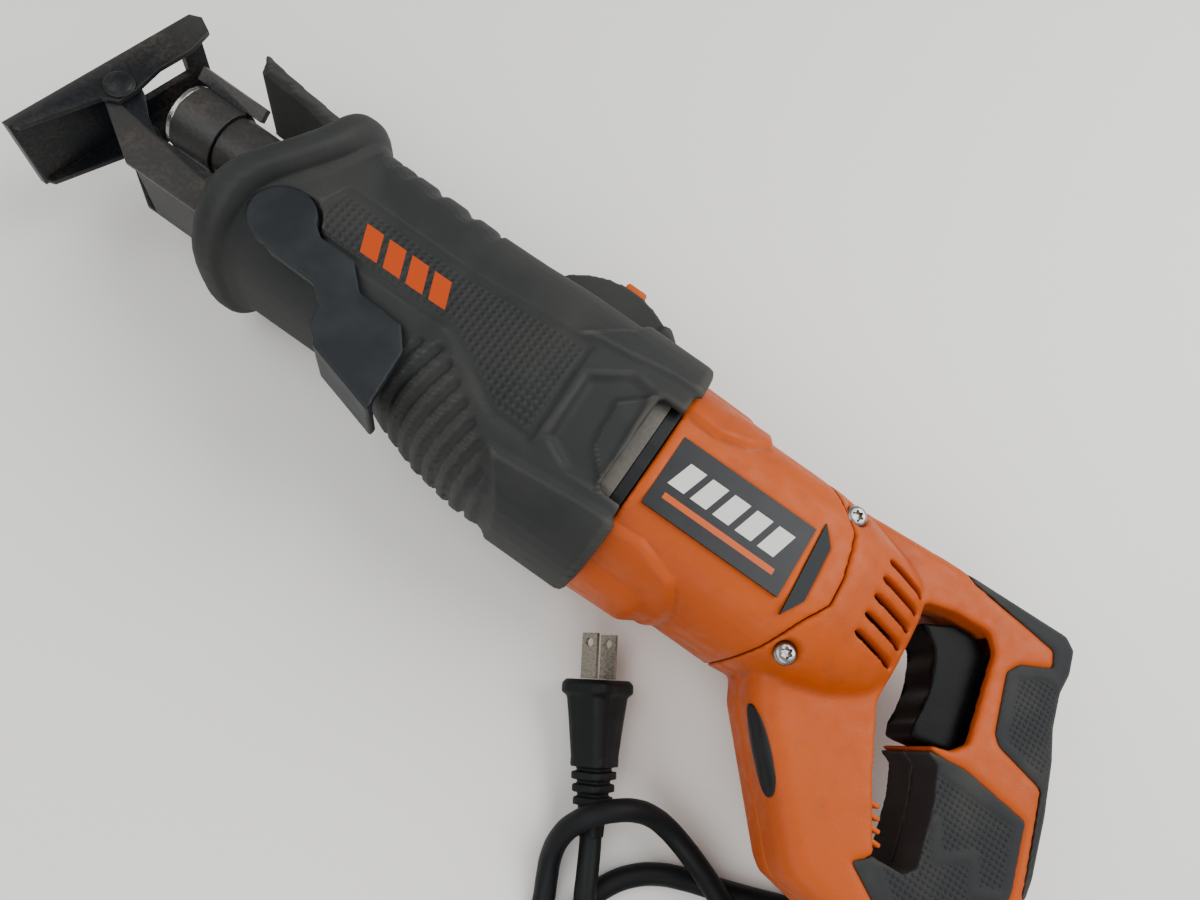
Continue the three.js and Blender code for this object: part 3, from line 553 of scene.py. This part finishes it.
GRIP_FIELDS = [
    [(146, 0), (157, 6), (172, 0), (168, -26), (151, -22)],
    [(134, -44), (165, -44), (170, -63), (167, -90), (142, -90), (131, -80), (137, -66)],
]
GRIP_BANDS = [(128, -66), (141, -58), (146, -68), (157, -60), (161, -70), (174, -64)]


def grip_skin(x, y, z, normal):
    side = rise(0.5, 0.9, abs(normal.z))
    field = max(inside(x, y, outline) for outline in GRIP_FIELDS)
    field = min(field, off_line(x, y, GRIP_BANDS) - 1.2)
    return side * -0.5 * rise(-0.3, 0.9, field), side * rise(0.4, 1.2, field)


grip_rubber_grey = grip_finish()
for node in ("grip_back_left", "grip_back_right", "grip_front_left", "grip_front_right"):
    grip = moulded(node, 0.8, 3, "saw")
    press(grip, grip_skin, "dots")
    grip_rubber_grey.on(grip)


# ---------------------------------------------------------------------------------------------
# Black and slate plastic parts: the lever that lets the shoe go, the stroke selector, the accent
# strips, the trigger, the motor baffle, switch and brush gear. They are moulded with a satin face,
# and the trigger is the glossiest.
def satin_finish(name, dark, light, roughness, gleam=0.25):
    finish = Finish(name, gleam=gleam)
    haze = finish.noise(14, 5, 0.4, 0.72)
    finish.put("Base Color", finish.mix(haze, colour(*dark), colour(*light)))
    finish.put("Roughness", roughness + 0.15 * haze)
    finish.bump(finish.noise(0.8, 3), 0.05)
    return finish


slate_plastic = satin_finish("slate_nylon", (26, 30, 33), (38, 42, 44), 0.5)
black_plastic = satin_finish("black_nylon", (13, 14, 16), (25, 26, 28), 0.42)
glossy_black = satin_finish("trigger_black", (7, 8, 9), (14, 15, 17), 0.3, gleam=0.08)
lever = moulded("shoe_release_lever", 0.6, 3, "lever")
slate_plastic.on(lever)
slate_plastic.on(*[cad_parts[n] for n in ("accent_left", "accent_right")])


SELECTOR_PIVOT = (-39, 7)
SELECTOR_R = 33  # the tab outside this is orange


def selector_finish():
    finish = satin_finish("selector_nylon", (26, 30, 33), (38, 42, 44), 0.5)
    x = (finish.axis(0) - at(*SELECTOR_PIVOT).x) * MM_IN_METRE
    y = (finish.axis(1) - at(*SELECTOR_PIVOT).y) * MM_IN_METRE
    tab = (x * x + y * y).math("SQRT").math("GREATER_THAN", SELECTOR_R)
    body = finish.mix(finish.noise(14, 5, 0.4, 0.72), colour(22, 26, 29), colour(34, 38, 41))
    finish.put("Base Color", finish.mix(tab, body, colour(190, 82, 10)))
    return finish


selector = moulded("orbit_selector", 0.45, 2, "selector")
selector_nylon = selector_finish()
selector_nylon.on(selector)
cap = bmesh.new()
bmesh.ops.create_cube(cap, size=1)
bmesh.ops.scale(cap, verts=cap.verts, vec=(8.6 * MM, 4.4 * MM, 17 * MM))
bmesh.ops.bevel(cap, geom=cap.edges[:], offset=1.1 * MM, affect="EDGES", segments=3, profile=0.5, material=-1)
bmesh.ops.translate(cap, verts=cap.verts, vec=at(-39, 7 + 34.6, 0))
selector_nylon.on(made_of(cap, "selector_thumb_piece", "selector"))


FINGER_PITCH = 11.5


def trigger_skin(x, y, z, normal):
    """Hollows for the fingers across the face that is pulled."""
    wave = 0.5 - 0.5 * math.cos((y + 2) * 2 * math.pi / FINGER_PITCH)
    return -1.3 * rise(0.2, 0.8, -normal.x) * wave, 0


trigger = moulded("trigger", 0.6, 16, "trigger_group")
TRIGGER_SLIMMING = 0.2  # it is this share slimmer than the slot it runs in
TRIGGER_DRAW = 3.5  # and its front is drawn in
for vertex in trigger.data.vertices:
    x, _, z = (vertex.co - at(0, 0, 0)) / MM
    vertex.co.z -= TRIGGER_SLIMMING * z * MM
    vertex.co.x += TRIGGER_DRAW * MM * rise(131, 118, x)
press(trigger, trigger_skin)
glossy_black.on(trigger)
black_plastic.on(*[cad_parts[n] for n in ("motor_baffle", "switch_body", "brush_frame")])


# ---------------------------------------------------------------------------------------------
# The badges are printed plates set into the housing's sides. The print is a plain row of white
# blocks over an orange stripe.
BADGE_MIDDLE = (30, -20.5)
BLOCKS_X = (-21, 20.6)
BLOCKS_Y = (-3.4, 6.6)
BLOCK_PITCH, BLOCK_WIDTH = 8.6, 6.2
STRIPE_HALF = 21
STRIPE_Y = (-8.6, -6.4)


def badge_finish():
    finish = Finish("badge_print", roughness=0.35)
    x = (finish.axis(0) - at(*BADGE_MIDDLE).x) * MM_IN_METRE
    y = (finish.axis(1) - at(*BADGE_MIDDLE).y) * MM_IN_METRE
    slope = x - y * 0.3
    blocks = (slope + -BLOCKS_X[0]).math("WRAP", BLOCK_PITCH, 0).math("LESS_THAN", BLOCK_WIDTH)
    blocks = blocks * slope.math("GREATER_THAN", BLOCKS_X[0]) * slope.math("LESS_THAN", BLOCKS_X[1])
    blocks = blocks * y.math("GREATER_THAN", BLOCKS_Y[0]) * y.math("LESS_THAN", BLOCKS_Y[1])
    stripe = x.math("GREATER_THAN", -STRIPE_HALF) * x.math("LESS_THAN", STRIPE_HALF)
    stripe = stripe * y.math("LESS_THAN", STRIPE_Y[1]) * y.math("GREATER_THAN", STRIPE_Y[0])
    haze = finish.noise(10, 4, 0.4, 0.7)
    base = finish.mix(haze, colour(22, 25, 28), colour(31, 34, 36))
    base = finish.mix(blocks, base, colour(206, 205, 200))
    finish.put("Base Color", finish.mix(stripe, base, colour(188, 80, 10)))
    return finish


badge_print = badge_finish()
badge_print.on(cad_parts["badge_left"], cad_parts["badge_right"])


# ---------------------------------------------------------------------------------------------
# Metal parts. The shoe, its post and the blade clamp are steel with a black oxide coat that is
# rubbed bright at its edges and holds brown dust; shafts and screws are bright steel. The same
# layers, in other colours, make the bronze bushes, cast case, copper and carbon inside.
def metal_finish(name, dark, light, roughness, metallic, dust_share):
    finish = Finish(name)
    patches = finish.noise(16, 6, 0.45, 0.68)
    fine = finish.noise(1.5, 4, 0.35, 0.75)
    edge = finish.node("ShaderNodeNewGeometry", {}, {}, "Pointiness")
    rubbed = edge.math("SUBTRACT", 0.53).math("MULTIPLY", 10, clamp=True)
    base = finish.mix(fine * 0.5, colour(*dark), colour(*light))
    base = finish.mix(rubbed * 0.5, base, colour(128, 124, 118))
    dust = (patches * fine).math("MULTIPLY", dust_share, clamp=True)
    finish.put("Base Color", finish.mix(dust, base, colour(146, 118, 88)))
    finish.put("Metallic", metallic - dust * metallic)
    finish.put("Roughness", roughness + 0.3 * dust)
    finish.bump(fine, 0.06)
    return finish


def eased(node, body, width_mm):
    """A copy of a solid with its edges rounded off and its curved faces shaded smooth."""
    form = bmesh.new()
    form.from_mesh(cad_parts[node].data)
    bmesh.ops.remove_doubles(form, verts=form.verts, dist=WELD)
    bmesh.ops.dissolve_limit(form, angle_limit=math.radians(1), verts=form.verts, edges=form.edges)
    piece = made_of(form, node + "_eased", body)
    piece.data.materials.clear()
    rounding = piece.modifiers.new("rounding", "BEVEL")
    rounding.width, rounding.segments, rounding.limit_method = width_mm * MM, 2, "ANGLE"
    rounding.angle_limit = math.radians(38)
    piece.data.set_sharp_from_angle(angle=math.radians(60))
    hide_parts(node)
    return piece


black_oxide = metal_finish("black_oxide_steel", (15, 18, 22), (33, 37, 41), 0.45, 0.3, 0.13)
bright = metal_finish("bright_steel_ground", (150, 148, 144), (182, 180, 176), 0.28, 1.0, 0.3)
brass = metal_finish("bronze_bearing", (150, 112, 62), (176, 136, 82), 0.35, 1.0, 0.2)
cast = metal_finish("cast_aluminium", (52, 51, 48), (70, 69, 65), 0.6, 0.5, 0.3)
copper = metal_finish("copper_windings", (156, 82, 44), (182, 104, 60), 0.35, 0.9, 0.05)
carbon = metal_finish("carbon_block", (34, 34, 35), (52, 52, 52), 0.6, 0.0, 0.0)
black_oxide.on(eased("shoe", "shoe_group", 0.7))
black_oxide.on(eased("shoe_post", "post", 0.6))
black_oxide.on(eased("clamp_collar", "collar", 0.5))
black_oxide.on(eased("blade_clamp_body", "spindle_group", 0.4))
for side in ("left", "right"):
    black_oxide.on(eased("shoe_rivet_" + side, "shoe_group", 0.5))
bright.on(eased("clamp_ring", "spindle_group", 0.4))
bright.on(eased("spindle", "spindle_group", 0.3))
spring = eased("trigger_spring", "saw", 0.1)
bright.on(spring)
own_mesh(spring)
BY_FINISH = {
    black_oxide: "stator",
    bright: "yoke_roller crown_gear crank_pin armature_shaft gear_axle release_shaft "
    "front_bearing rear_bearing armature_core",
    brass: "front_bush rear_bush brush_holder_upper brush_holder_lower",
    cast: "gear_case_left gear_case_right",
    copper: "commutator",
    carbon: "carbon_brush_upper carbon_brush_lower",
    black_plastic: "cooling_fan",
}
for finish, nodes in BY_FINISH.items():
    finish.on(*[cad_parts[node] for node in nodes.split()])


# ---------------------------------------------------------------------------------------------
# The screws that hold the handle halves: zinc-plated, with a low domed head and a six-lobed
# socket, each sunk in its boss on the left side.
SOCKET_DEPTH = 1.6
for node in ("handle_screw_1", "handle_screw_2"):
    low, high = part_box(node)
    head_r = (high.x - low.x) / 2 / MM
    shank_r, depth = head_r * 0.45, (high.z - low.z) / MM
    profile = [(0, -SOCKET_DEPTH)]
    for share in (0, 0.5, 1):
        profile.append((head_r * 0.46 * (0.72 + 0.28 * share), SOCKET_DEPTH * (share - 1)))
    profile += [(head_r * 0.62, -0.05), (head_r * 0.8, -0.3), (head_r * 0.95, -0.8)]
    profile += [(head_r, -1.5), (head_r, -2.3), (shank_r, -2.4), (shank_r, -depth + 1)]
    profile += [(shank_r - 0.8, -depth), (0, -depth)]
    centre = Vector(((low.x + high.x) / 2, (low.y + high.y) / 2, high.z))
    screw = turned_piece(node + "_lobed", profile, centre, Vector((0, 0, 1)), "saw", steps=48)
    for vertex in screw.data.vertices:
        arm = vertex.co - centre
        flat = Vector((arm.x, arm.y, 0))
        if 0 < flat.length < head_r * 0.47 * MM and arm.z > -1.7 * MM:
            lobes = 1 + 0.2 * math.cos(6 * math.atan2(flat.y, flat.x))
            vertex.co += flat * (lobes - 1)
    screw.data.set_sharp_from_angle(angle=math.radians(40))
    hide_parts(node)
    bright.on(screw)


# ---------------------------------------------------------------------------------------------
# A leaf-shaped inlay of black rubber is pressed into the front corner of the handle's leg, and
# four small teeth stand on its rear edge, moulded with the leg in orange nylon.
LEAF_HALF_LENGTH, LEAF_HALF_WIDTH = 14.5, 5.2
LEAF_THICKNESS = 1.6
leaf_long_way = Vector((19, -19, 1)).normalized()
leaf_cross_way = Vector((0.22, 0.22, 0.95)).normalized()
leaf_middle = at(81.5, -71.5, 12.5)
leaf = bmesh.new()
bmesh.ops.create_grid(leaf, x_segments=8, y_segments=28, size=1)
for vertex in leaf.verts:
    u, v = vertex.co.x, vertex.co.y
    across, along = u * math.sqrt(1 - v * v / 2), v * math.sqrt(1 - u * u / 2)
    offset = leaf_long_way * along * LEAF_HALF_LENGTH + leaf_cross_way * across * LEAF_HALF_WIDTH
    _, place, normal, _ = handle_left.closest_point_on_mesh(leaf_middle + offset * MM)
    vertex.co = place + normal * MM * (0.9 - 0.3 * (across**2 + along**2))
bmesh.ops.recalc_face_normals(leaf, faces=leaf.faces)
bmesh.ops.solidify(leaf, geom=leaf.faces[:], thickness=LEAF_THICKNESS * MM)
bmesh.ops.recalc_face_normals(leaf, faces=leaf.faces)
black_plastic.on(made_of(leaf, "leg_inlay", "saw"))
TEETH = 4
for number in range(TEETH):
    near_edge = at(126 + 1.5 * number, -62 - 3.4 * number, 13)
    place = handle_left.closest_point_on_mesh(near_edge)[1]
    form = bmesh.new()
    bmesh.ops.create_cube(form, size=1)
    bmesh.ops.scale(form, verts=form.verts, vec=(5.5 * MM, 1.5 * MM, 7 * MM))
    bmesh.ops.bevel(
        form, geom=form.edges[:], offset=0.5 * MM, affect="EDGES", segments=2, profile=0.5, material=-1
    )
    bmesh.ops.translate(form, verts=form.verts, vec=place)
    orange_nylon.on(made_of(form, "leg_tooth_%d" % (number + 1), "saw"))


# ---------------------------------------------------------------------------------------------
# The bench is a plain pale table. Three broad lamps and a pale surround give soft light, the
# strongest from behind the saw on its handle side, so that the shadows fall short and soft.
bench = bmesh.new()
bmesh.ops.create_grid(bench, x_segments=1, y_segments=1, size=3)
bench_mesh = bpy.data.meshes.new("bench_top")
bench.to_mesh(bench_mesh)
bench.free()
bench_top = bpy.data.objects.new("bench_top", bench_mesh)
bpy.context.scene.collection.objects.link(bench_top)
pale_top = Finish("pale_top", roughness=0.55)
pale_top.put("Base Color", colour(240, 239, 234))
pale_top.on(bench_top)

LAMPS = {
    "lamp_back": ((420, 520, 700), 900, 11),
    "lamp_front": ((-500, -350, 800), 900, 5),
    "lamp_right": ((250, -700, 650), 700, 3),
}
for lamp_name, (stand, size, power) in LAMPS.items():
    lamp_data = bpy.data.lights.new(lamp_name, "AREA")
    lamp_data.shape, lamp_data.size, lamp_data.energy = "DISK", size * MM, power
    lamp_object = bpy.data.objects.new(lamp_name, lamp_data)
    stood = at(*stand)
    turn = (at(0, -20) - stood).to_track_quat("-Z", "Y").to_matrix().to_4x4()
    lamp_object.matrix_world = Matrix.Translation(stood) @ turn
    bpy.context.scene.collection.objects.link(lamp_object)
surround = bpy.data.worlds.new("surround")
surround.use_nodes = True
surround.node_tree.nodes["Background"].inputs["Color"].default_value = (1, 1, 1, 1)
surround.node_tree.nodes["Background"].inputs["Strength"].default_value = 0.4
bpy.context.scene.world = surround
